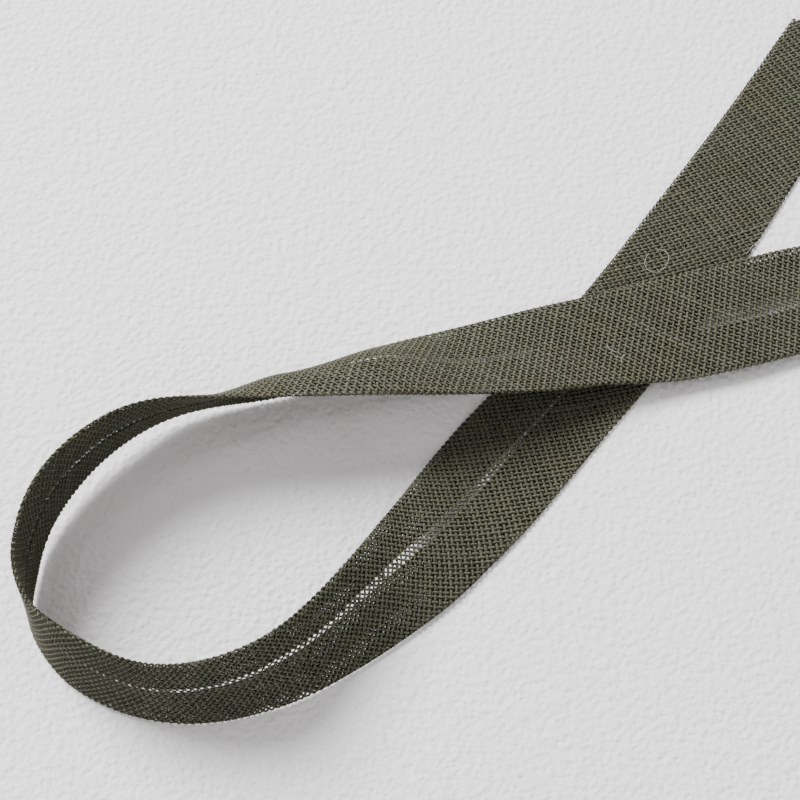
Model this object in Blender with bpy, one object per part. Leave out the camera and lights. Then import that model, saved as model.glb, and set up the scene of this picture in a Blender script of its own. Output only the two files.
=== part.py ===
"""A length of single-fold bias binding laid in one loop that crosses over itself.

Metres, +Z up.  The tape lies flat at its cut end, turns up on its edge round the
loop, twists over and crosses above its own first stretch.  The origin is the
middle of its footprint, on the surface that it lies on.
"""

import math

import bmesh
import bpy
import numpy as np

MM = 0.001

# The tape.  Its long edges are folded in to the back, where they nearly meet.
LAYER = 0.35 * MM        # thickness of one layer of cloth
LAYER_GAP = 0.3 * MM     # air between the face layer and the folded-in edges
SLIT = 1.0 * MM          # space left between the two folded-in edges
CHAMFER = 0.2 * MM       # breaks the corners of the two folds
HALF_THICK = (2 * LAYER + LAYER_GAP) / 2

# Where the tape lies: a row for each bend, twist or straight stretch.
#   along   distance from the first cut, at the tape's middle
#   x, y    place of the tape's middle
#   foot    height of its outer edge above the surface
#   lean    0 = flat with the face up, 90 = standing on its outer edge
#   width   the folded width, a little uneven as pressed
#   crown   how far the face bulges between its two edges
# In millimetres and degrees.
ROUTE_COLUMNS = ("along", "x", "y", "foot", "lean", "width", "crown")
ROUTE = [
    # flat on the surface, and under the crossing
    (-8, 47.3, 47.9, 0.5, 0, 12.5, 0),
    (15, 33.9, 29.2, 0.5, 0, 11.7, 0),
    (38, 20.7, 10.3, 0.5, 0, 12.9, 0),
    (58, 8.2, -5.3, 0.5, 0, 13.0, 0),
    (72, -1.0, -15.8, 0.5, 0, 13.8, 0),
    # turning up on its edge
    (83, -7.8, -24.3, 0.5, 17, 12.7, 0),
    (92, -13.6, -30.8, 0.4, 39, 12.4, 0),
    (101, -20.3, -36.8, 0.3, 56, 12.2, 0),
    # round the loop, standing
    (111, -28.9, -41.6, 0.2, 71, 13.4, 0),
    (121, -38.8, -42.4, 0.2, 74, 12.9, 0),
    (130, -47.0, -39.0, 0.3, 76, 13.5, 0),
    (137, -51.8, -34.1, 0.4, 83, 12.1, 0),
    (144, -52.7, -27.2, 0.5, 93, 12.1, 0),
    (152, -50.0, -19.9, 1.1, 92, 13.0, 0),
    (161, -43.8, -13.5, 1.5, 87, 12.7, 0),
    (171, -34.6, -9.8, 0.9, 76, 12.4, 0.2),
    # twisting over to show its face again
    (181, -24.7, -8.7, 0.3, 69, 12.7, 2.4),
    (191, -15.1, -6.0, 1.0, 47, 12.9, 2.2),
    (203, -3.4, -3.6, 1.2, 30, 12.7, 0),
    (216, 9.2, -1.0, 1.9, 10, 12.0, 0),
    # over the first stretch and down to the surface again
    (228, 20.9, 1.3, 2.0, 0, 13.1, 0),
    (240, 32.5, 4.4, 1.6, 0, 13.2, 0),
    (252, 44.0, 7.8, 0.5, 0, 12.5, 0),
    (266, 57.3, 12.0, 0.5, 0, 12.7, 0),
]

# The two cuts across the tape, where each meets the inner edge.  The first one is
# slanted: it leaves more tape at the outer edge.  The sweep's sections start with
# that slant and are square again SLANT_REACH further along.
FIRST_CUT = 0.0 * MM
FIRST_CUT_SLANT = 5.9 * MM
SLANT_REACH = 60.0 * MM
LAST_CUT = 260.0 * MM
SECTIONS = 104           # sweep sections between the two cuts
SPANS = 4                # straight spans across the face, for its crown

OLIVE = (0.118, 0.112, 0.075, 1.0)
ROUGHNESS = 0.9


def clear_scene():
    for obj in list(bpy.data.objects):
        bpy.data.objects.remove(obj, do_unlink=True)


def route_column(name):
    """One column of the route, in metres, or in radians for the lean."""
    values = np.array([row[ROUTE_COLUMNS.index(name)] for row in ROUTE], float)
    if name == "lean":
        return np.radians(values)
    return values * MM


def smooth_curve(knots, values):
    """A natural cubic spline through the values, as a function of the distance."""
    count = len(knots)
    step = np.diff(knots)
    slope = np.diff(values) / step
    system = np.eye(count)
    right = np.zeros(count)
    for i in range(1, count - 1):
        system[i, i - 1:i + 2] = (step[i - 1], 2 * (step[i - 1] + step[i]), step[i])
        right[i] = 6 * (slope[i] - slope[i - 1])
    bend = np.linalg.solve(system, right)

    def at(along):
        i = min(max(int(np.searchsorted(knots, along)) - 1, 0), count - 2)
        a = (knots[i + 1] - along) / step[i]
        b = 1 - a
        cubic = (a ** 3 - a) * bend[i] + (b ** 3 - b) * bend[i + 1]
        return a * values[i] + b * values[i + 1] + cubic * step[i] ** 2 / 6

    return at


def steady_curve(knots, values):
    """A cubic through the values that never overshoots, so level stretches stay level."""
    step = np.diff(knots)
    slope = np.diff(values) / step
    tangent = np.zeros(len(knots))
    for i in range(1, len(knots) - 1):
        if slope[i - 1] * slope[i] > 0:
            tangent[i] = 2 * slope[i - 1] * slope[i] / (slope[i - 1] + slope[i])

    def at(along):
        i = min(max(int(np.searchsorted(knots, along)) - 1, 0), len(knots) - 2)
        t = (along - knots[i]) / step[i]
        start = (1 + 2 * t) * (1 - t) ** 2 * values[i] + t * (1 - t) ** 2 * step[i] * tangent[i]
        end = t * t * (3 - 2 * t) * values[i + 1] - t * t * (1 - t) * step[i] * tangent[i + 1]
        return start + end

    return at


class Route:
    """The tape's middle line with its lean and width, read at any distance along it."""

    def __init__(self):
        knots = route_column("along")
        self.x = smooth_curve(knots, route_column("x"))
        self.y = smooth_curve(knots, route_column("y"))
        self.foot = steady_curve(knots, route_column("foot"))
        self.lean = steady_curve(knots, route_column("lean"))
        self.width = steady_curve(knots, route_column("width"))
        self.crown = steady_curve(knots, route_column("crown"))

    def middle(self, along):
        height = self.foot(along) + self.width(along) / 2 * math.sin(self.lean(along))
        return np.array((self.x(along), self.y(along), height))

    def frame(self, along):
        """The middle, the direction to the inner edge and the direction that the face looks."""
        reach = 0.5 * MM
        heading = self.middle(along + reach) - self.middle(along - reach)
        heading /= np.linalg.norm(heading)
        level = np.array((heading[1], -heading[0], 0.0))
        level /= np.linalg.norm(level)
        up = np.cross(level, heading)
        lean = self.lean(along)
        inward = math.cos(lean) * level + math.sin(lean) * up
        return self.middle(along), inward, np.cross(inward, heading)


def run_across(start, end, level, spans):
    """Points from one place across the tape to another, all on one level."""
    return [(start + (end - start) * i / spans, level) for i in range(spans + 1)]


def folded_section(width):
    """The tape's section: (across, outward) from its middle, once round the folded cloth."""
    half = width / 2
    back = -HALF_THICK
    inside = half - LAYER
    face = run_across(-half + CHAMFER, half - CHAMFER, HALF_THICK, SPANS)
    inner_flap = run_across(half - CHAMFER, SLIT / 2, back, SPANS // 2)
    under_inner_flap = run_across(SLIT / 2, inside, back + LAYER, SPANS // 2)
    under_face = run_across(inside, -inside, HALF_THICK - LAYER, SPANS)
    under_outer_flap = run_across(-inside, -SLIT / 2, back + LAYER, SPANS // 2)
    outer_flap = run_across(-SLIT / 2, -half + CHAMFER, back, SPANS // 2)
    outer_fold = [(-half, back + CHAMFER), (-half, HALF_THICK - CHAMFER)]
    inner_fold = [(half, HALF_THICK - CHAMFER), (half, back + CHAMFER)]
    front = outer_fold + face + inner_fold
    return front + inner_flap + under_inner_flap + under_face + under_outer_flap + outer_flap


def tape_ring(mesh, route, share):
    """The section's vertices at this share of the way from the first cut to the last."""
    ring = []
    inner_along = FIRST_CUT + (LAST_CUT - FIRST_CUT) * share
    slant = FIRST_CUT_SLANT * max(0.0, 1 - (inner_along - FIRST_CUT) / SLANT_REACH)
    width = route.width(inner_along)
    for across, outward in folded_section(width):
        along = inner_along - slant * (0.5 - across / width)
        middle, inward, face = route.frame(along)
        bulge = route.crown(along) * (1 - (2 * across / width) ** 2)
        ring.append(mesh.verts.new(middle + inward * across + face * (outward + bulge)))
    return ring


def close_cut(mesh, ring):
    """Fills the folded cloth's section at a cut, between its outside and its inside."""
    half_spans = SPANS // 2
    face = ring[2:3 + SPANS]
    inner_flap = ring[5 + SPANS:6 + SPANS + half_spans]
    under_inner_flap = ring[6 + SPANS + half_spans:7 + 2 * SPANS]
    under_face = ring[7 + 2 * SPANS:8 + 3 * SPANS]
    under_outer_flap = ring[8 + 3 * SPANS:9 + 3 * SPANS + half_spans]
    outer_flap = ring[9 + 3 * SPANS + half_spans:]
    for outside, inside in (
        (face, under_face),
        (inner_flap, under_inner_flap),
        (outer_flap, under_outer_flap),
    ):
        inside = inside[::-1]
        for i in range(len(outside) - 1):
            mesh.faces.new((outside[i], outside[i + 1], inside[i + 1], inside[i]))
    inner_fold = ring[2 + SPANS:6 + SPANS]
    outer_fold = [ring[-1], ring[0], ring[1], ring[2]]
    mesh.faces.new(inner_fold + [under_inner_flap[-1], under_face[0]])
    mesh.faces.new(outer_fold + [under_face[-1], under_outer_flap[0]])


def binding_tape():
    """The whole tape as one closed solid, swept along the route."""
    route = Route()
    mesh = bmesh.new()
    rings = [tape_ring(mesh, route, i / SECTIONS) for i in range(SECTIONS + 1)]
    for ring, following in zip(rings, rings[1:]):
        for i in range(len(ring)):
            j = (i + 1) % len(ring)
            mesh.faces.new((ring[i], ring[j], following[j], following[i]))
    close_cut(mesh, rings[0])
    close_cut(mesh, rings[-1])
    bmesh.ops.recalc_face_normals(mesh, faces=mesh.faces)
    data = bpy.data.meshes.new("bias_tape")
    mesh.to_mesh(data)
    mesh.free()
    return data


def olive_cotton():
    material = bpy.data.materials.new("olive_cotton")
    material.use_nodes = True
    shader = material.node_tree.nodes["Principled BSDF"]
    shader.inputs["Base Color"].default_value = OLIVE
    shader.inputs["Roughness"].default_value = ROUGHNESS
    shader.inputs["Metallic"].default_value = 0.0
    return material


def main():
    clear_scene()
    tape = bpy.data.objects.new("bias_tape", binding_tape())
    tape.data.materials.append(olive_cotton())
    bpy.context.scene.collection.objects.link(tape)


main()
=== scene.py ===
"""Looks of a loop of olive bias binding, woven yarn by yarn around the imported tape.

Metres, +Z up.  The cloth is drawn flat first.  A point of it is (along, strip, lift): how far
along the tape it is, how far across the unfolded strip, and how high above the cloth's
middle.  Tape.place folds the strip's two edges to the back and lays it on its route.
"""

import math

import bpy
import numpy as np
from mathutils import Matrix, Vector


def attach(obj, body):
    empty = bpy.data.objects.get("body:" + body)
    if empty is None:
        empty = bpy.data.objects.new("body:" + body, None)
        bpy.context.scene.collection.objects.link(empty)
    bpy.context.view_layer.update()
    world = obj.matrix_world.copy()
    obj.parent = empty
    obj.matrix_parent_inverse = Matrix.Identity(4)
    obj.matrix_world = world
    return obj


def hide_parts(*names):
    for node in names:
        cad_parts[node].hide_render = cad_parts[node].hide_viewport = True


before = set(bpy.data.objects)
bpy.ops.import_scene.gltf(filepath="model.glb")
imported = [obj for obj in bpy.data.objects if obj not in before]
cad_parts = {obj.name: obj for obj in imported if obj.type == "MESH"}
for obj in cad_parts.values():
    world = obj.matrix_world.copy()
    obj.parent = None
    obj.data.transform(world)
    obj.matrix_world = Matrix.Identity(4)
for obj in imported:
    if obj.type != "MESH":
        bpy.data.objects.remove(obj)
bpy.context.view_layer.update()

MM = 0.001

# ---------------------------------------------------------------- where the tape lies

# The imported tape's own route: a row for each bend, twist or straight stretch.
#   along   distance from the first cut, at the tape's middle
#   x, y    place of the tape's middle
#   foot    height of its outer edge above the surface
#   lean    0 = flat with the face up, 90 = standing on its outer edge
#   width   the folded width, a little uneven as pressed
#   crown   how far the face bulges between its two edges
# In millimetres and degrees.
ROUTE_COLUMNS = ("along", "x", "y", "foot", "lean", "width", "crown")
ROUTE = [
    # flat on the surface, and under the crossing
    (-8, 47.3, 47.9, 0.5, 0, 12.5, 0),
    (15, 33.9, 29.2, 0.5, 0, 11.7, 0),
    (38, 20.7, 10.3, 0.5, 0, 12.9, 0),
    (58, 8.2, -5.3, 0.5, 0, 13.0, 0),
    (72, -1.0, -15.8, 0.5, 0, 13.8, 0),
    # turning up on its edge
    (83, -7.8, -24.3, 0.5, 17, 12.7, 0),
    (92, -13.6, -30.8, 0.4, 39, 12.4, 0),
    (101, -20.3, -36.8, 0.3, 56, 12.2, 0),
    # round the loop, standing
    (111, -28.9, -41.6, 0.2, 71, 13.4, 0),
    (121, -38.8, -42.4, 0.2, 74, 12.9, 0),
    (130, -47.0, -39.0, 0.3, 76, 13.5, 0),
    (137, -51.8, -34.1, 0.4, 83, 12.1, 0),
    (144, -52.7, -27.2, 0.5, 93, 12.1, 0),
    (152, -50.0, -19.9, 1.1, 92, 13.0, 0),
    (161, -43.8, -13.5, 1.5, 87, 12.7, 0),
    (171, -34.6, -9.8, 0.9, 76, 12.4, 0.2),
    # twisting over to show its face again
    (181, -24.7, -8.7, 0.3, 69, 12.7, 2.4),
    (191, -15.1, -6.0, 1.0, 47, 12.9, 2.2),
    (203, -3.4, -3.6, 1.2, 30, 12.7, 0),
    (216, 9.2, -1.0, 1.9, 10, 12.0, 0),
    # over the first stretch and down to the surface again
    (228, 20.9, 1.3, 2.0, 0, 13.1, 0),
    (240, 32.5, 4.4, 1.6, 0, 13.2, 0),
    (252, 44.0, 7.8, 0.5, 0, 12.5, 0),
    (266, 57.3, 12.0, 0.5, 0, 12.7, 0),
]
ROUTE_STEP = 0.25 * MM   # spacing of the stations at which the route is worked out
FIRST_CUT = 2.9 * MM     # where each cut meets the inner edge
LAST_CUT = 260.0 * MM
SLANT = 5.9 * MM         # extra tape that the slanted first cut leaves at the outer edge

# ---------------------------------------------------------------- the folded cloth

FOLD = 0.14 * MM         # radius of the two folds, at the cloth's middle
CLOTH = 0.13 * MM        # half the thickness of one layer
PACKED_BACK = 0.5 * MM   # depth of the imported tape's back below its middle
SINK = PACKED_BACK - FOLD - CLOTH

# The slit between the two folded-in edges, and how far it lies from the tape's middle
# towards the inner edge.  Below nothing the two edges just meet.  In millimetres.
SLIT_COLUMNS = ("along", "slit", "slit_at")
SLIT = [
    (0, -0.15, 0.0),
    (56, -0.1, 0.5),
    (66, 0.3, 0.6),
    (74, 0.9, 0.7),
    (84, 1.0, 1.1),
    (92, 0.8, 1.5),
    (104, 0.4, 1.2),
    (124, 0.4, 0.3),
    (150, 0.5, 0.0),
    (170, 0.8, -0.2),
    (200, 0.6, 0.0),
    (216, 0.9, 0.0),
    (228, 1.5, 0.0),
    (245, 1.9, 0.0),
    (262, 2.1, 0.0),
]

# ---------------------------------------------------------------- the weave

# Both families of yarn cross the strip on the bias.  Angles are measured from the tape's
# length, as seen on its face.
WEFT_ANGLE = math.radians(-38)
WARP_ANGLE = math.radians(62)
WEFT_PITCH = 0.453 * MM
WARP_PITCH = 0.675 * MM
WEFT_WIDTH = 0.255 * MM
WARP_WIDTH = 0.30 * MM
YARN_THICKNESS = 0.14 * MM
WAVE = CLOTH - YARN_THICKNESS / 2    # how far a yarn rises and dips from the cloth's middle
# The bias cloth is pulled askew by a share of the strip's width that changes along it.
SKEW_COLUMNS = ("along", "skew")
SKEW = [
    (0, 0.24),
    (35, 0.12),
    (60, -0.05),
    (90, -0.30),
    (120, -0.15),
    (160, 0.0),
    (200, 0.08),
    (262, 0.10),
]
RAW_EDGE = 0.12 * MM     # how unevenly the yarns end at a raw edge

# How uneven the yarns are.  A yarn strays by shares of its family's spacing and swells by
# shares of its width, at random and in slow waves of a size and a length in crossings.
STRAY = 0.03
STRAY_WAVES = ((0.035, 7.3), (0.02, 2.9))
WIDTH_SPREAD = 0.09
SWELL_WAVES = ((0.10, 3.7), (0.07, 1.3))


def clear_selection():
    for obj in bpy.context.selected_objects:
        obj.select_set(False)


def column(rows, names, name):
    return np.array([row[names.index(name)] for row in rows], float)


def smooth_curve(knots, values, along):
    """A natural cubic spline through the values, read at each distance along."""
    count = len(knots)
    step = np.diff(knots)
    slope = np.diff(values) / step
    system = np.eye(count)
    right = np.zeros(count)
    for i in range(1, count - 1):
        system[i, i - 1:i + 2] = (step[i - 1], 2 * (step[i - 1] + step[i]), step[i])
        right[i] = 6 * (slope[i] - slope[i - 1])
    bend = np.linalg.solve(system, right)
    i = np.clip(np.searchsorted(knots, along) - 1, 0, count - 2)
    a = (knots[i + 1] - along) / step[i]
    b = 1 - a
    cubic = (a ** 3 - a) * bend[i] + (b ** 3 - b) * bend[i + 1]
    return a * values[i] + b * values[i + 1] + cubic * step[i] ** 2 / 6


def steady_curve(knots, values, along):
    """A cubic through the values that never overshoots, so level stretches stay level."""
    step = np.diff(knots)
    slope = np.diff(values) / step
    tangent = np.zeros(len(knots))
    for i in range(1, len(knots) - 1):
        if slope[i - 1] * slope[i] > 0:
            tangent[i] = 2 * slope[i - 1] * slope[i] / (slope[i - 1] + slope[i])
    i = np.clip(np.searchsorted(knots, along) - 1, 0, len(knots) - 2)
    t = (along - knots[i]) / step[i]
    start = (1 + 2 * t) * (1 - t) ** 2 * values[i] + t * (1 - t) ** 2 * step[i] * tangent[i]
    end = t * t * (3 - 2 * t) * values[i + 1] - t * t * (1 - t) * step[i] * tangent[i + 1]
    return start + end


class Tape:
    """Where each point of the flat strip comes to lie once it is folded and laid."""

    def __init__(self):
        knots = column(ROUTE, ROUTE_COLUMNS, "along") * MM
        reach = 2            # stations either way that the heading is measured over
        first, last = knots[0] + MM, knots[-1] - MM
        stations = np.arange(first, last, ROUTE_STEP)

        def sized(name):
            return steady_curve(knots, column(ROUTE, ROUTE_COLUMNS, name) * MM, stations)

        lean = np.radians(steady_curve(knots, column(ROUTE, ROUTE_COLUMNS, "lean"), stations))
        x = smooth_curve(knots, column(ROUTE, ROUTE_COLUMNS, "x") * MM, stations)
        y = smooth_curve(knots, column(ROUTE, ROUTE_COLUMNS, "y") * MM, stations)
        z = sized("foot") + sized("width") / 2 * np.sin(lean)
        middle = np.stack((x, y, z), axis=1)
        heading = middle[2 * reach:] - middle[:-2 * reach]
        heading /= np.linalg.norm(heading, axis=1)[:, None]
        keep = slice(reach, -reach)
        level = np.stack((heading[:, 1], -heading[:, 0], 0 * heading[:, 0]), axis=1)
        level /= np.linalg.norm(level, axis=1)[:, None]
        up = np.cross(level, heading)
        tilt = lean[keep][:, None]
        self.stations = stations[keep]
        self.middle = middle[keep]
        self.inward = np.cos(tilt) * level + np.sin(tilt) * up
        self.face = np.cross(self.inward, heading)
        self.width = sized("width")[keep]
        self.crown = sized("crown")[keep]
        self.slit = self.read(SLIT, SLIT_COLUMNS, "slit") * MM
        self.slit_at = self.read(SLIT, SLIT_COLUMNS, "slit_at") * MM
        self.skew = self.read(SKEW, SKEW_COLUMNS, "skew")

    def read(self, rows, names, name):
        return steady_curve(column(rows, names, "along") * MM, column(rows, names, name), self.stations)

    def at(self, values, along):
        """Values known at the stations, read at any distance along."""
        if values.ndim == 1:
            return np.interp(along, self.stations, values)
        parts = [np.interp(along, self.stations, values[:, axis]) for axis in range(3)]
        return np.stack(parts, axis=-1)

    def flat_half(self, along):
        """Half the width of the face, up to where the folds start."""
        return self.at(self.width, along) / 2 - FOLD - CLOTH

    def folded(self, along, strip, lift):
        """Place in the folded section: across from its middle, and out towards the face."""
        flat = self.flat_half(along)
        past = np.abs(strip) - flat
        turn = np.clip(past / FOLD, 0, math.pi)
        back = np.maximum(past - math.pi * FOLD, 0)
        across = np.minimum(np.abs(strip), flat) + np.sin(turn) * (FOLD + lift) - back
        return np.sign(strip) * across, np.cos(turn) * (FOLD + lift)

    def place(self, along, strip, lift):
        across, outward = self.folded(along, strip, lift)
        share = 2 * across / self.at(self.width, along)
        outward = outward - SINK + self.at(self.crown, along) * (1 - share ** 2)
        inward, face = self.at(self.inward, along), self.at(self.face, along)
        beside = inward * across[..., None] + face * outward[..., None]
        return self.at(self.middle, along) + beside

    def strip_end(self, along, side):
        """The strip's reach from its middle: side is 1 for the inner raw edge, -1 for the outer."""
        slit, at = self.at(self.slit, along), self.at(self.slit_at, along)
        return 2 * self.flat_half(along) + math.pi * FOLD - slit / 2 - side * at

    def first_cut(self, along, strip):
        """How far along the slanted first cut is, at this place across the folded tape."""
        across, outward = self.folded(along, strip, 0.0)
        return FIRST_CUT - SLANT * (0.5 - across / self.at(self.width, along))

    def on_cloth(self, along, strip, ragged):
        """True where the point is on the strip, whose edges are moved in by ragged."""
        end = np.where(strip > 0, self.strip_end(along, 1), self.strip_end(along, -1))
        inside = np.abs(strip) < end - ragged
        after_first = along > self.first_cut(along, strip) + ragged
        return inside & after_first & (along < LAST_CUT - ragged)


# ---------------------------------------------------------------- yarns

WEFT_WAY = np.array((math.cos(WEFT_ANGLE), -math.sin(WEFT_ANGLE)))
WARP_WAY = np.array((math.cos(WARP_ANGLE), -math.sin(WARP_ANGLE)))
CROSSING = abs(math.sin(WARP_ANGLE - WEFT_ANGLE))
NEXT_WARP = WEFT_WAY * WARP_PITCH / CROSSING     # along a weft yarn, from one warp yarn to the next
NEXT_WEFT = WARP_WAY * WEFT_PITCH / CROSSING     # along a warp yarn, from one weft yarn to the next
STRIP_REACH = 13.2 * MM                          # a little past the strip's raw edges
SPLIT = 0.85                                     # share of a fold's turn that goes with the face
SPARE = 4 * MM                                   # yarns are laid out this far past the two cuts
SHOULDER = 0.25                                  # where a yarn's stations are beside each crossing

# The map "OFBake" has a row for each yarn, with a patch for its cap at each end.
BAKE_CAP = 0.008
BAKE_GAP = 0.004
BAKE_MARGIN = 0.04
MANY_YARNS = 60                                  # more than this take two columns of rows


def skewed(tape, along, strip):
    return along + tape.at(tape.skew, along) * strip


def unskewed(tape, along, strip):
    straight = along
    for _ in range(6):
        straight = along - tape.at(tape.skew, straight) * strip
    return straight


def waves(station, sizes, starts):
    """The sum of slow waves along a yarn."""
    return sum(size * np.sin(station / length + start) for (size, length), start in zip(sizes, starts))


def yarn_lines(tape, rng, own, other, width):
    """Each yarn of one family: its stations' along, strip, lift, width, tone and ragged.

    own is the step from one yarn of the family to the next, and other the step along a yarn
    to the next crossing.  A yarn has two stations between crossings, on the shoulders of
    its wave.
    """
    per_crossing = abs(own[0] - own[1] * other[0] / other[1])
    sweep = STRIP_REACH * abs(other[0] / other[1])
    lowest = -(SLANT + sweep + SPARE) / per_crossing
    highest = (LAST_CUT + sweep + SPARE) / per_crossing
    lines = []
    for number in range(int(lowest), int(highest) + 1):
        # crossings are counted from the lattice's origin, so both families agree on them
        at_middle = -number * own[1] / other[1]
        half = STRIP_REACH / abs(other[1])
        first, last = math.floor(at_middle - half), math.ceil(at_middle + half)
        crossing = np.repeat(np.arange(first, last + 1), 2)
        station = crossing + np.tile((-SHOULDER, SHOULDER), len(crossing) // 2)
        phase = rng.uniform(0, 2 * math.pi, 4)
        stray = rng.normal(0, STRAY) + waves(station, STRAY_WAVES, phase[:2])
        straight = (number + stray) * own[0] + station * other[0]
        strip = (number + stray) * own[1] + station * other[1]
        lift = WAVE * (1 - 2 * ((number + crossing) % 2))
        swell = 1 + waves(station, SWELL_WAVES, phase[2:])
        thick = width * rng.normal(1, WIDTH_SPREAD) * swell
        along = skewed(tape, straight, strip)
        tone = rng.normal(0, 1)
        ragged = rng.uniform(0, RAW_EDGE, len(along))
        lines.append((along, strip, lift, thick, tone, ragged))
    return lines


def split_runs(inside):
    """First and last index of each stretch where inside holds, if it has two stations or more."""
    marks = np.flatnonzero(np.diff(np.concatenate(((False,), inside, (False,))).astype(int)))
    return [(a, b - 1) for a, b in zip(marks[::2], marks[1::2]) if b - a >= 2]


def woven_piece(name, tape, lines, side, material, over):
    """One family's yarns on the face or on the flaps, as closed tubes with four sides.

    over is 1 or -1: which of the two families is on top where the crossing's count is even.
    """
    parts = {"along": [], "strip": [], "lift": [], "width": [], "tone": [], "far": []}
    sizes = []
    for along, strip, lift, thick, tone, ragged in lines:
        turned = tape.flat_half(along) + SPLIT * math.pi * FOLD
        on_side = np.abs(strip) <= turned if side == "face" else np.abs(strip) > turned
        if side == "flap":
            # the flap's yarns start in the face's last station, where they join
            near = np.roll(on_side, 1) | np.roll(on_side, -1)
            on_side = on_side | (near & (np.abs(strip) > 0.5 * turned))
        inside = on_side & tape.on_cloth(along, strip, ragged)
        step = np.hypot(np.diff(along), np.diff(strip))
        far = np.concatenate(((0.0,), np.cumsum(step)))
        for a, b in split_runs(inside):
            run = slice(a, b + 1)
            parts["along"].append(along[run])
            parts["strip"].append(strip[run])
            parts["lift"].append(lift[run] * over)
            parts["width"].append(thick[run])
            parts["tone"].append(np.full(b + 1 - a, tone))
            parts["far"].append(far[run])
            sizes.append(b + 1 - a)
    flat = {key: np.concatenate(value) for key, value in parts.items()}
    sideways = np.concatenate([lateral(a, s) for a, s in zip(parts["along"], parts["strip"])])
    ring_side = np.array((1.0, 0.0, -1.0, 0.0))
    ring_up = np.array((0.0, 1.0, 0.0, -1.0))
    half = flat["width"][:, None] / 2 * ring_side
    points = tape.place(
        flat["along"][:, None] + sideways[:, :1] * half,
        flat["strip"][:, None] + sideways[:, 1:] * half,
        flat["lift"][:, None] + YARN_THICKNESS / 2 * ring_up,
    )
    return tube_object(name, points, sizes, flat["far"], flat["tone"], material)


def lateral(along, strip):
    """The direction across a yarn, in the flat cloth, at each of its stations."""
    way = np.stack((np.gradient(along), np.gradient(strip)), axis=1)
    way /= np.linalg.norm(way, axis=1)[:, None]
    return np.stack((-way[:, 1], way[:, 0]), axis=1)


def tube_object(name, rings, sizes, far, tone, material):
    """Closed tubes from rings of points; sizes says how many rings each tube has.

    The map "yarn" runs along and around each yarn in millimetres and turns.  The map
    "OFBake" gives each yarn a row of its own.
    """
    sides = rings.shape[1]
    turn = np.arange(sides)
    following = (turn + 1) % sides
    columns = 2 if len(sizes) > MANY_YARNS else 1
    rows = math.ceil(len(sizes) / columns)
    faces, yarn_map, bake_map = [], [], []
    start = 0
    for number, size in enumerate(sizes):
        ring = start + np.arange(size - 1)
        quads = np.stack((
            ring[:, None] * sides + turn,
            (ring[:, None] + 1) * sides + turn,
            (ring[:, None] + 1) * sides + following,
            ring[:, None] * sides + following,
        ), axis=-1).reshape(-1, 4)
        share = np.arange(size) / (size - 1)
        u = np.stack((share[:-1], share[1:], share[1:], share[:-1]), axis=-1)
        u = np.repeat(u[:, None], sides, axis=1).reshape(-1, 4)
        v = np.stack((turn, turn, turn + 1, turn + 1), axis=-1) / sides
        v = np.tile(v[None], (size - 1, 1, 1)).reshape(-1, 4)
        distance = far[start:start + size] / MM
        d = np.stack((distance[:-1], distance[1:], distance[1:], distance[:-1]), axis=-1)
        d = np.repeat(d[:, None], sides, axis=1).reshape(-1, 4)
        caps = np.array((start * sides + turn, (start + size - 1) * sides + turn[::-1]))
        cap = np.array((0.0, BAKE_CAP, BAKE_CAP, 0.0))
        cap_v = np.array(((0.2, 0.2, 0.8, 0.8), (0.2, 0.2, 0.8, 0.8)))
        past_cap = BAKE_CAP + BAKE_GAP
        u = np.concatenate((past_cap + (1 - 2 * past_cap) * u, (cap, 1 - cap[::-1])))
        v_bake = np.concatenate((BAKE_MARGIN + (1 - 2 * BAKE_MARGIN) * v, cap_v))
        column_at, row_at = number % columns, number // columns
        bake_u = (column_at + BAKE_GAP + (1 - 2 * BAKE_GAP) * u) / columns
        bake_map.append(np.stack((bake_u, (row_at + v_bake) / rows), axis=-1))
        ends = np.array((distance[0], distance[-1]))[:, None] + np.zeros((2, 4))
        yarn_map.append(np.stack((np.concatenate((d, ends)), np.concatenate((v, cap_v))), axis=-1))
        faces.append(np.concatenate((quads, caps)))
        start += size
    mesh = bpy.data.meshes.new(name)
    mesh.from_pydata(rings.reshape(-1, 3).tolist(), [], np.concatenate(faces).tolist())
    for layer, values in (("yarn", yarn_map), ("OFBake", bake_map)):
        uv = mesh.uv_layers.new(name=layer)
        uv.uv.foreach_set("vector", np.concatenate(values).reshape(-1).astype(np.float32))
    attribute = mesh.attributes.new("tone", "FLOAT", "POINT")
    attribute.data.foreach_set("value", np.repeat(tone, sides).astype(np.float32))
    return finished(name, mesh, material)


def finished(name, mesh, material):
    mesh.polygons.foreach_set("use_smooth", np.ones(len(mesh.polygons), bool))
    mesh.materials.append(material)
    mesh.update()
    piece = bpy.data.objects.new(name, mesh)
    bpy.context.scene.collection.objects.link(piece)
    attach(piece, "root")
    return piece


# ---------------------------------------------------------------- the fuzz between the yarns

GROUND_HALF = 0.02 * MM
GROUND_ROWS = 400
GROUND_FLAP_SPANS = 7
GROUND_FOLD_SPANS = 5
GROUND_FACE_SPANS = 12
GROUND_FLAP_OPEN = 0.3   # size of the holes in the folded-in edges, beside those in the face


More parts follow.
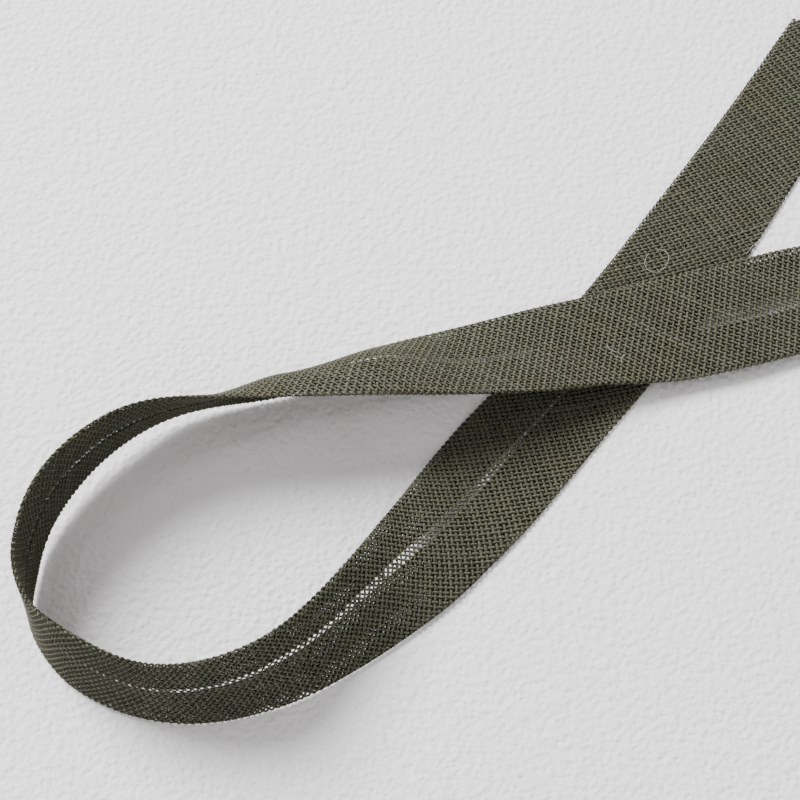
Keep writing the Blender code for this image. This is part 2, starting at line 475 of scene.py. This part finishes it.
def ground_cloth(tape, material):
    """The thin felted layer in the middle of the cloth, a closed sheet folded as the tape is."""
    share = np.linspace(0, 1, GROUND_ROWS + 1)[:, None]
    nominal = LAST_CUT * share
    flat = tape.flat_half(nominal)
    turned = flat + math.pi * FOLD
    inner, outer = tape.strip_end(nominal, 1) - RAW_EDGE, tape.strip_end(nominal, -1) - RAW_EDGE
    flap = np.linspace(1, 0, GROUND_FLAP_SPANS + 1)[None, :-1]
    fold = np.linspace(1, 0, GROUND_FOLD_SPANS + 1)[None, :-1]
    face = np.linspace(-1, 1, GROUND_FACE_SPANS + 1)[None]
    strip = np.concatenate((
        -(turned + (outer - turned) * flap),
        -(flat + (turned - flat) * fold),
        flat * face,
        (flat + (turned - flat) * fold)[:, ::-1],
        (turned + (inner - turned) * flap)[:, ::-1],
    ), axis=1)
    start = tape.first_cut(nominal + 0 * strip, strip) + RAW_EDGE
    along = start + (LAST_CUT - RAW_EDGE - start) * share
    top = tape.place(along, strip, GROUND_HALF + 0 * strip)
    bottom = tape.place(along, strip, -GROUND_HALF + 0 * strip)
    rows, columns = strip.shape
    grid = np.arange(rows * columns).reshape(rows, columns)
    upper = np.stack((grid[:-1, :-1], grid[:-1, 1:], grid[1:, 1:], grid[1:, :-1]), axis=-1).reshape(-1, 4)
    lower = upper[:, ::-1] + rows * columns
    rim = np.concatenate((grid[0, :-1], grid[:-1, -1], grid[-1, :0:-1], grid[:0:-1, 0]))
    after = np.roll(rim, -1)
    walls = np.stack((after, rim, rim + rows * columns, after + rows * columns), axis=-1)
    faces = np.concatenate((upper, lower, walls))
    mesh = bpy.data.meshes.new("tape_ground")
    mesh.from_pydata(np.concatenate((top, bottom)).reshape(-1, 3).tolist(), [], faces.tolist())
    # the map "weave" counts the yarns of each family, so that its holes fall between them
    straight = unskewed(tape, along, strip)
    lattice = np.linalg.inv(np.stack((NEXT_WEFT, NEXT_WARP), axis=1))
    counted = np.stack((straight, strip), axis=-1) @ lattice.T
    counted = np.tile(counted.reshape(-1, 2), (2, 1))[faces.reshape(-1)]
    spread = np.stack((share + 0 * strip, np.arange(columns)[None] / (columns - 1) + 0 * strip), axis=-1)
    spread = spread.reshape(-1, 2)
    # the cloth's two sides share the map "OFBake", one above the other
    half = spread * (0.98, 0.47) + (0.01, 0.01)
    halves = np.concatenate((half, half + (0, 0.5)))
    for layer, values in (("weave", counted), ("OFBake", halves[faces.reshape(-1)])):
        uv = mesh.uv_layers.new(name=layer)
        uv.uv.foreach_set("vector", values.reshape(-1).astype(np.float32))
    openness = np.where(np.abs(strip) > turned, GROUND_FLAP_OPEN, 1.0)
    attribute = mesh.attributes.new("open", "FLOAT", "POINT")
    attribute.data.foreach_set("value", np.tile(openness.reshape(-1), 2).astype(np.float32))
    return finished("tape_ground", mesh, material)


# ---------------------------------------------------------------- stray fibres

FIBRE_THICK = 0.05 * MM
FIBRE_MAP_STEP = 0.1 * MM
# The small tangle: a row for each fibre, with its middle's place, its way over the cloth in
# radians and its reach either way.  In millimetres.
TANGLE = [
    (218.4, 1.5, 0.9, 0.7),
    (218.9, 2.6, 0.3, 0.5),
    (219.4, 2.9, 2.2, 0.6),
]


def stray_fibres(tape, material):
    """A few pale fibres caught on the tape: a loop, a hair past the edge and a small tangle."""
    on_top = CLOTH + FIBRE_THICK
    paths = []
    # the loop, a little egg-shaped, on the first stretch
    turn = np.linspace(math.radians(-215), math.radians(95), 26)
    radius = (1.45 * MM + 0.2 * MM * np.cos(2 * turn)) * (1 + 0.1 * turn / math.pi)
    along, strip = 39.8 * MM + radius * np.cos(turn), 2.0 * MM + radius * np.sin(turn)
    paths.append(tape.place(along, strip, on_top + 0.05 * MM * np.abs(turn)))
    # the hair, which reaches out past the first stretch's outer edge
    share = np.linspace(-1, 1, 14)
    hair_y = 12.4 + 1.2 * share - 0.5 * share ** 2
    paths.append(np.stack((30.1 + 1.7 * share, hair_y, 1.3 + 0.2 * share), axis=1) * MM)
    for middle, across, way, reach in TANGLE:
        side = reach * share * MM
        along = middle * MM + side * math.cos(way) + 0.25 * MM * share ** 2
        paths.append(tape.place(along, across * MM + side * math.sin(way), on_top + 0 * share))
    rings, sizes, far = [], [], []
    for path in paths:
        way = np.gradient(path, axis=0)
        way /= np.linalg.norm(way, axis=1)[:, None]
        across = np.cross(way, (0.0, 0.0, 1.0))
        across /= np.linalg.norm(across, axis=1)[:, None]
        up = np.cross(across, way)
        spokes = np.stack((across, up, -across, -up), axis=1) * FIBRE_THICK / 2
        rings.append(path[:, None] + spokes)
        sizes.append(len(path))
        far.append(np.linspace(0, len(path) * FIBRE_MAP_STEP, len(path)))
    tone = np.zeros(sum(sizes))
    rings, far = np.concatenate(rings), np.concatenate(far)
    return tube_object("stray_fibres", rings, sizes, far, tone, material)


# ---------------------------------------------------------------- node helpers

class Nodes:
    """Short ways to add nodes and links to one tree."""

    def __init__(self, tree):
        self.tree = tree

    def add(self, kind, settings=None, **inputs):
        node = self.tree.nodes.new(kind)
        for key, value in (settings or {}).items():
            setattr(node, key, value)
        for key, value in inputs.items():
            self.feed(node, key.replace("_", " "), value)
        return node

    def feed(self, node, socket, value):
        target = node.inputs[int(socket)] if socket.isdigit() else node.inputs[socket]
        if isinstance(value, bpy.types.NodeSocket):
            self.tree.links.new(value, target)
        else:
            target.default_value = value

    def maths(self, operation, *values):
        node = self.add("ShaderNodeMath", {"operation": operation})
        for i, value in enumerate(values):
            self.feed(node, str(i), value)
        return node.outputs[0]

    def between(self, value, low, high, start=0.0, end=1.0):
        node = self.add("ShaderNodeMapRange", {"interpolation_type": "SMOOTHSTEP"})
        for i, item in enumerate((value, low, high, start, end)):
            self.feed(node, str(i), item)
        return node.outputs[0]

    def blend(self, share, first, second, way="MIX"):
        node = self.add("ShaderNodeMix", {"data_type": "RGBA", "blend_type": way})
        self.feed(node, "Factor", share)
        for socket, value in ((6, first), (7, second)):
            self.feed(node, str(socket), value)
        return node.outputs[2]


def node_group(name, inputs, outputs):
    """A new shader node group: its nodes, its input sockets and its output sockets."""
    tree = bpy.data.node_groups.new(name, "ShaderNodeTree")
    for socket, kind, value in inputs:
        made = tree.interface.new_socket(socket, in_out="INPUT", socket_type=kind)
        made.default_value = value
    for socket, kind in outputs:
        tree.interface.new_socket(socket, in_out="OUTPUT", socket_type=kind)
    nodes = Nodes(tree)
    start = tree.nodes.new("NodeGroupInput")
    end = tree.nodes.new("NodeGroupOutput")
    return nodes, start.outputs, end


def cloth_tone_group():
    """Soft patches over the whole tape, where the dye and the light between threads vary."""
    nodes, given, end = node_group(
        "cloth_tone",
        [("Colour", "NodeSocketColor", (0.1, 0.1, 0.07, 1)), ("Strength", "NodeSocketFloat", 1.0)],
        [("Colour", "NodeSocketColor")],
    )
    place = nodes.add("ShaderNodeTexCoord").outputs["Object"]
    broad = nodes.add("ShaderNodeTexNoise", Vector=place, Scale=170.0, Detail=2.0).outputs["Fac"]
    second = nodes.add("ShaderNodeTexNoise", Vector=place, Scale=330.0, Detail=1.0).outputs["Fac"]
    warm = nodes.maths("MULTIPLY", nodes.between(broad, 0.52, 0.72), given["Strength"])
    green = nodes.maths("MULTIPLY", nodes.between(second, 0.52, 0.72), given["Strength"])
    colour = nodes.blend(warm, given["Colour"], (1.10, 0.94, 0.88, 1), "MULTIPLY")
    colour = nodes.blend(green, colour, (0.92, 1.03, 0.93, 1), "MULTIPLY")
    nodes.feed(end, "Colour", colour)
    return nodes.tree


def yarn_twist_group():
    """The twisted fibres of a yarn: a slanted streak that winds round it."""
    nodes, given, end = node_group(
        "yarn_twist",
        [("Turns", "NodeSocketFloat", 2.4)],
        [("Streak", "NodeSocketFloat"), ("Fibre", "NodeSocketFloat")],
    )
    uv = nodes.add("ShaderNodeUVMap", {"uv_map": "yarn"}).outputs["UV"]
    parts = nodes.add("ShaderNodeSeparateXYZ", Vector=uv)
    wound = nodes.maths("MULTIPLY_ADD", parts.outputs["X"], given["Turns"], parts.outputs["Y"])
    angle = nodes.maths("MULTIPLY", wound, 2 * math.pi)
    streak = nodes.maths("MULTIPLY_ADD", nodes.maths("SINE", angle), 0.5, 0.5)
    place = nodes.add("ShaderNodeCombineXYZ", X=parts.outputs["X"], Y=nodes.maths("MULTIPLY", wound, 6.0))
    fibre = nodes.add("ShaderNodeTexNoise", Vector=place.outputs[0], Scale=2.0, Detail=3.0).outputs["Fac"]
    nodes.feed(end, "Streak", streak)
    nodes.feed(end, "Fibre", fibre)
    return nodes.tree


# ---------------------------------------------------------------- materials

OLIVE = (0.042, 0.043, 0.025, 1)
OLIVE_PALE = (0.098, 0.099, 0.063, 1)
# painted shade: the fuzz between the yarns is coloured this dark to stand for the shade down in the holes
OLIVE_FUZZ_SHADE = (0.018, 0.018, 0.010, 1)
LINT = (0.45, 0.45, 0.42, 1)


def plain_material(name, roughness, sheen):
    material = bpy.data.materials.new(name)
    material.use_nodes = True
    shader = material.node_tree.nodes["Principled BSDF"]
    shader.inputs["Roughness"].default_value = roughness
    shader.inputs["Specular IOR Level"].default_value = 0.2
    shader.inputs["Sheen Weight"].default_value = sheen
    shader.inputs["Sheen Roughness"].default_value = 0.5
    return material, Nodes(material.node_tree), shader


def yarn_material(name, deep, pale, tone_group, twist_group):
    material, nodes, shader = plain_material(name, 0.85, 0.15)
    twist = nodes.add("ShaderNodeGroup", {"node_tree": twist_group})
    fibre = nodes.maths("MULTIPLY_ADD", twist.outputs["Streak"], 0.35, twist.outputs["Fibre"])
    colour = nodes.blend(nodes.between(fibre, 0.35, 1.0), deep, pale)
    own = nodes.add("ShaderNodeAttribute", {"attribute_name": "tone"}).outputs["Fac"]
    light = nodes.maths("MULTIPLY_ADD", own, 0.07, 1.0)
    lit = nodes.add("ShaderNodeCombineXYZ", X=light, Y=light, Z=light).outputs[0]
    colour = nodes.blend(1.0, colour, lit, "MULTIPLY")
    patches = nodes.add("ShaderNodeGroup", {"node_tree": tone_group}, Colour=colour, Strength=0.8)
    nodes.feed(shader, "Base Color", patches.outputs["Colour"])
    bump = nodes.add("ShaderNodeBump", Strength=0.6, Distance=0.02 * MM, Height=fibre)
    nodes.feed(shader, "Normal", bump.outputs["Normal"])
    return material


def lint_material(twist_group):
    material, nodes, shader = plain_material("lint", 0.8, 0.3)
    twist = nodes.add("ShaderNodeGroup", {"node_tree": twist_group})
    dull = tuple(0.7 * part for part in LINT[:3]) + (1,)
    nodes.feed(shader, "Base Color", nodes.blend(twist.outputs["Fibre"], dull, LINT))
    return material


def ground_material(tone_group):
    """Fuzz that closes the corners of the holes, and some of the holes, between yarns. Its dark colour is
    painted shade: it stands for the shade down in the holes.
    """
    material, nodes, shader = plain_material("tape_ground", 0.95, 0.0)
    # the fuzz takes the dark olive as painted shade in the holes, with the same soft patches as the yarns
    patches = nodes.add("ShaderNodeGroup", {"node_tree": tone_group}, Colour=OLIVE_FUZZ_SHADE, Strength=0.7)
    nodes.feed(shader, "Base Color", patches.outputs["Colour"])
    uv = nodes.add("ShaderNodeUVMap", {"uv_map": "weave"}).outputs["UV"]
    parts = nodes.add("ShaderNodeSeparateXYZ", Vector=uv)
    cell = nodes.add("ShaderNodeVectorMath", {"operation": "FLOOR"})
    nodes.feed(cell, "0", uv)
    chance = nodes.add("ShaderNodeTexWhiteNoise", {"noise_dimensions": "2D"}, Vector=cell.outputs[0])
    off = []
    for axis, reach in (("X", 0.30), ("Y", 0.36)):
        share = nodes.maths("SUBTRACT", nodes.maths("FRACT", parts.outputs[axis]), 0.5)
        off.append(nodes.maths("DIVIDE", nodes.maths("ABSOLUTE", share), reach))
    far = nodes.maths("MAXIMUM", off[0], off[1])
    size = nodes.between(chance.outputs["Value"], 0.0, 0.2, 0.4, 1.0)
    openness = nodes.add("ShaderNodeAttribute", {"attribute_name": "open"}).outputs["Fac"]
    alpha = nodes.maths("GREATER_THAN", far, nodes.maths("MULTIPLY", size, openness))
    nodes.feed(shader, "Alpha", alpha)
    return material


def floor_material():
    """A pale board with a fine pebbled grain."""
    material, nodes, shader = plain_material("pale_board", 0.55, 0.0)
    place = nodes.add("ShaderNodeTexCoord").outputs["Object"]
    grain = nodes.add("ShaderNodeTexNoise", Vector=place, Scale=1300.0, Detail=2.0, Roughness=0.5)
    cells = nodes.add("ShaderNodeTexVoronoi", {"feature": "SMOOTH_F1"}, Vector=place, Scale=1500.0)
    height = nodes.maths("ADD", grain.outputs["Fac"], cells.outputs["Distance"])
    bump = nodes.add("ShaderNodeBump", Strength=0.9, Distance=0.22 * MM, Height=height)
    nodes.feed(shader, "Base Color", (0.87, 0.86, 0.87, 1))
    nodes.feed(shader, "Normal", bump.outputs["Normal"])
    return material


# ---------------------------------------------------------------- room

VIEW_TARGET = Vector((-0.0121, -0.0071, 0.0))
VIEW_ELEVATION = math.radians(70)
VIEW_DISTANCE = 0.2286
VIEW_LENS = 89.9
FLOOR_SIZE = 1.6


def aim(obj, place, target):
    obj.location = place
    obj.rotation_euler = (target - place).to_track_quat("-Z", "Y").to_euler()


def add_camera():
    camera = bpy.data.objects.new("camera", bpy.data.cameras.new("camera"))
    camera.data.lens = VIEW_LENS
    camera.data.clip_start = 0.01
    bpy.context.scene.collection.objects.link(camera)
    back = Vector((0, -math.cos(VIEW_ELEVATION), math.sin(VIEW_ELEVATION)))
    aim(camera, VIEW_TARGET + back * VIEW_DISTANCE, VIEW_TARGET)
    bpy.context.scene.camera = camera


def add_light(name, place, size, power, colour):
    light = bpy.data.lights.new(name, "AREA")
    light.shape = "DISK"
    light.size = size
    light.energy = power
    light.color = colour
    obj = bpy.data.objects.new(name, light)
    bpy.context.scene.collection.objects.link(obj)
    aim(obj, Vector(place), VIEW_TARGET)


def add_room():
    clear_selection()
    bpy.ops.mesh.primitive_plane_add(size=FLOOR_SIZE)
    floor = bpy.context.object
    floor.name = "floor"
    floor.data.materials.append(floor_material())
    world = bpy.data.worlds.new("studio")
    world.use_nodes = True
    world.node_tree.nodes["Background"].inputs["Color"].default_value = (1.0, 0.985, 0.97, 1)
    world.node_tree.nodes["Background"].inputs["Strength"].default_value = 0.82
    bpy.context.scene.world = world
    add_light("window", (-0.55, 0.55, 0.75), 0.55, 30.0, (1.0, 0.985, 0.98))


# ---------------------------------------------------------------- the whole

def main():
    add_camera()
    tape = Tape()
    rng = np.random.default_rng(7)
    tone, twist = cloth_tone_group(), yarn_twist_group()
    weft_yarn = yarn_material("weft_cotton", OLIVE, OLIVE_PALE, tone, twist)
    warp_yarn = yarn_material("warp_cotton", OLIVE, OLIVE_PALE, tone, twist)
    weft = yarn_lines(tape, rng, NEXT_WEFT, NEXT_WARP, WEFT_WIDTH)
    warp = yarn_lines(tape, rng, NEXT_WARP, NEXT_WEFT, WARP_WIDTH)
    yarns = []
    for side in ("face", "flap"):
        yarns.append(woven_piece("weft_" + side, tape, weft, side, weft_yarn, 1))
        yarns.append(woven_piece("warp_" + side, tape, warp, side, warp_yarn, -1))
    ground = ground_cloth(tape, ground_material(tone))
    yarns.append(stray_fibres(tape, lint_material(twist)))
    for piece in yarns + [ground]:
        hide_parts("bias_tape")
    add_room()


main()
